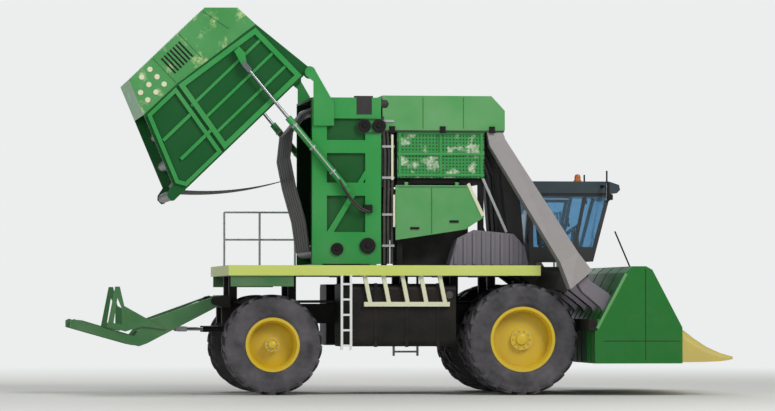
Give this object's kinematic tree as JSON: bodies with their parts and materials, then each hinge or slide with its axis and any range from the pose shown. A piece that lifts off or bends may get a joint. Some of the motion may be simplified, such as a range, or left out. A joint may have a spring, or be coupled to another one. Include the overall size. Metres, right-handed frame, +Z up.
{
  "type": "cotton harvester",
  "caption": "Self-propelled row-crop cotton harvester with picking units, cab, accumulator, rolling chamber with open rear gate and a tilting cradle.",
  "frame": {"origin": "middle of the whole machine's length and width, on the ground", "axes": "+X forward, towards the noses of the picking units; +Y to the machine's left; +Z up"},
  "size_m": [11.44, 5.71, 6.8026],
  "materials": {
    "chassis_paint": "satin",
    "green_paint": "gloss",
    "dark_green_paint": "gloss",
    "pale_green_paint": "gloss",
    "rim_paint": "gloss",
    "edge_paint": "gloss",
    "nose_plastic": "gloss",
    "duct_metal": "matt",
    "duct_plastic": "matt",
    "steel_parts": "satin",
    "tank_plastic": "matt",
    "cab_paint": "satin",
    "roof_plastic": "gloss",
    "cab_glass": "clear",
    "seat_fabric": "woven",
    "tyre": "matt",
    "belt_rubber": "matt",
    "rod_chrome": "polished",
    "engine_iron": "matt"
  },
  "bodies": {
    "chassis": {"main_frame": "chassis_paint", "front_axle": "chassis_paint", "rear_axle": "chassis_paint", "side_platforms": "dark_green_paint", "deck_edges": "edge_paint", "side_rack": "steel_parts", "ladders": "steel_parts", "fuel_tank": "tank_plastic", "water_tank": "tank_plastic", "engine_block": "engine_iron", "engine_enclosure": "chassis_paint", "fan_housings": "duct_plastic", "handrails": "edge_paint", "cab_shell": "cab_paint", "cab_roof": "roof_plastic", "cab_glass": "cab_glass", "seat": "seat_fabric", "steering_console": "tank_plastic", "mirrors": "chassis_paint", "upper_ducts_left": "duct_metal", "upper_ducts_right": "duct_metal", "accumulator": "green_paint", "accumulator_hood": "pale_green_paint", "chamber_shell": "dark_green_paint", "chamber_frame": "green_paint", "chamber_rollers": "steel_parts", "front_belts": "belt_rubber"},
    "gate": {"gate_shell": "dark_green_paint", "gate_frame": "pale_green_paint", "wrap_housing": "pale_green_paint", "gate_rollers": "steel_parts", "gate_belts": "belt_rubber"},
    "gate_barrels": {"gate_cylinder_barrels": "chassis_paint"},
    "gate_rods": {"gate_cylinder_rods": "rod_chrome"},
    "cradle": {"cradle": "dark_green_paint"},
    "cradle_barrels": {"cradle_cylinder_barrels": "chassis_paint"},
    "cradle_rods": {"cradle_cylinder_rods": "rod_chrome"},
    "header": {"header_frame": "chassis_paint", "lower_ducts": "duct_plastic", "row_units_left": "dark_green_paint", "row_units_right": "dark_green_paint", "picker_drums": "steel_parts", "unit_noses": "nose_plastic"},
    "header_barrels": {"header_cylinder_barrels": "chassis_paint"},
    "header_rods": {"header_cylinder_rods": "rod_chrome"},
    "cab_door": {"cab_door": "cab_paint", "door_glass": "cab_glass"},
    "service_door_left": {"service_door_left": "pale_green_paint"},
    "service_door_right": {"service_door_right": "pale_green_paint"},
    "front_wheel_left": {"front_tyres_left": "tyre", "front_wheels_left": "rim_paint"},
    "front_wheel_right": {"front_tyres_right": "tyre", "front_wheels_right": "rim_paint"},
    "knuckle_left": {"knuckle_left": "chassis_paint"},
    "knuckle_right": {"knuckle_right": "chassis_paint"},
    "rear_wheel_left": {"rear_tyre_left": "tyre", "rear_wheel_left": "rim_paint"},
    "rear_wheel_right": {"rear_tyre_right": "tyre", "rear_wheel_right": "rim_paint"},
    "tie_rod": {"tie_rod": "steel_parts"}
  },
  "joints": [
    {"name": "front_wheel_left_spin", "type": "hinge", "parent": "chassis", "child": "front_wheel_left", "pos_m": [2.12, 0, 0.975], "axis": [0, 1, 0], "continuous": true},
    {"name": "front_wheel_right_spin", "type": "hinge", "parent": "chassis", "child": "front_wheel_right", "pos_m": [2.12, 0, 0.975], "axis": [0, 1, 0], "continuous": true},
    {"name": "steer_left", "type": "hinge", "parent": "chassis", "child": "knuckle_left", "pos_m": [-2.23, 1.13, 0.88], "axis": [0, 0, 1], "range_deg": [-30, 30]},
    {"name": "steer_right", "type": "hinge", "parent": "chassis", "child": "knuckle_right", "pos_m": [-2.23, -1.13, 0.88], "axis": [0, 0, 1], "range_deg": [-30, 30]},
    {"name": "rear_wheel_left_spin", "type": "hinge", "parent": "knuckle_left", "child": "rear_wheel_left", "pos_m": [-2.23, 1.5, 0.88], "axis": [0, 1, 0], "continuous": true},
    {"name": "rear_wheel_right_spin", "type": "hinge", "parent": "knuckle_right", "child": "rear_wheel_right", "pos_m": [-2.23, -1.5, 0.88], "axis": [0, 1, 0], "continuous": true},
    {"name": "tie_rod_slide", "type": "slide", "parent": "chassis", "child": "tie_rod", "axis": [0, 1, 0], "range_m": [-0.18, 0.18]},
    {"name": "header_lift", "type": "hinge", "parent": "chassis", "child": "header", "pos_m": [2.57, 0, 1.45], "axis": [0, -1, 0], "range_deg": [-10, 10]},
    {"name": "header_barrel_tilt", "type": "hinge", "parent": "chassis", "child": "header_barrels", "pos_m": [2.35, 0, 0.9], "axis": [0, -1, 0], "range_deg": [-6, 6]},
    {"name": "header_rod_slide", "type": "slide", "parent": "header_barrels", "child": "header_rods", "axis": [0.9317, 0, 0.3631], "range_m": [-0.08, 0.08]},
    {"name": "gate_lift", "type": "hinge", "parent": "chassis", "child": "gate", "pos_m": [-1.54, 0, 5.67], "axis": [0, 1, 0], "range_deg": [-46, 0]},
    {"name": "gate_barrel_tilt", "type": "hinge", "parent": "chassis", "child": "gate_barrels", "pos_m": [-0.88, 0, 3.6], "axis": [0, 1, 0], "range_deg": [-12, 1]},
    {"name": "gate_rod_slide", "type": "slide", "parent": "gate_barrels", "child": "gate_rods", "axis": [-0.639, 0, 0.7692], "range_m": [-0.82, 0.01]},
    {"name": "cradle_tilt", "type": "hinge", "parent": "chassis", "child": "cradle", "pos_m": [-3.18, 0, 1.65], "axis": [0, 1, 0], "range_deg": [-28, 30]},
    {"name": "cradle_barrel_tilt", "type": "hinge", "parent": "chassis", "child": "cradle_barrels", "pos_m": [-2.68, 0, 1.15], "axis": [0, 1, 0], "range_deg": [-16, 17]},
    {"name": "cradle_rod_slide", "type": "slide", "parent": "cradle_barrels", "child": "cradle_rods", "axis": [-1, 0, 0], "range_m": [-0.26, 0.26]},
    {"name": "cab_door_swing", "type": "hinge", "parent": "chassis", "child": "cab_door", "pos_m": [2.68, 0.824, 2.96], "axis": [0, 0, 1], "range_deg": [0, 75]},
    {"name": "service_door_left_lift", "type": "hinge", "parent": "chassis", "child": "service_door_left", "pos_m": [0.62, 1.32, 3.72], "axis": [1, 0, 0], "range_deg": [0, 80]},
    {"name": "service_door_right_lift", "type": "hinge", "parent": "chassis", "child": "service_door_right", "pos_m": [0.62, -1.32, 3.72], "axis": [-1, 0, 0], "range_deg": [0, 80]}
  ],
  "couplings": [
    {"joint": "steer_right", "follows": "steer_left", "ratio": 1},
    {"joint": "tie_rod_slide", "follows": "steer_left", "m_per_rad": -0.3226},
    {"joint": "header_barrel_tilt", "follows": "header_lift", "ratio": 0.5104},
    {"joint": "header_rod_slide", "follows": "header_lift", "m_per_rad": 0.4323},
    {"joint": "gate_barrel_tilt", "follows": "gate_lift", "ratio": 0.2397},
    {"joint": "gate_rod_slide", "follows": "gate_lift", "m_per_rad": 0.9906},
    {"joint": "cradle_barrel_tilt", "follows": "cradle_tilt", "ratio": 0.547},
    {"joint": "cradle_rod_slide", "follows": "cradle_tilt", "m_per_rad": 0.489}
  ]
}
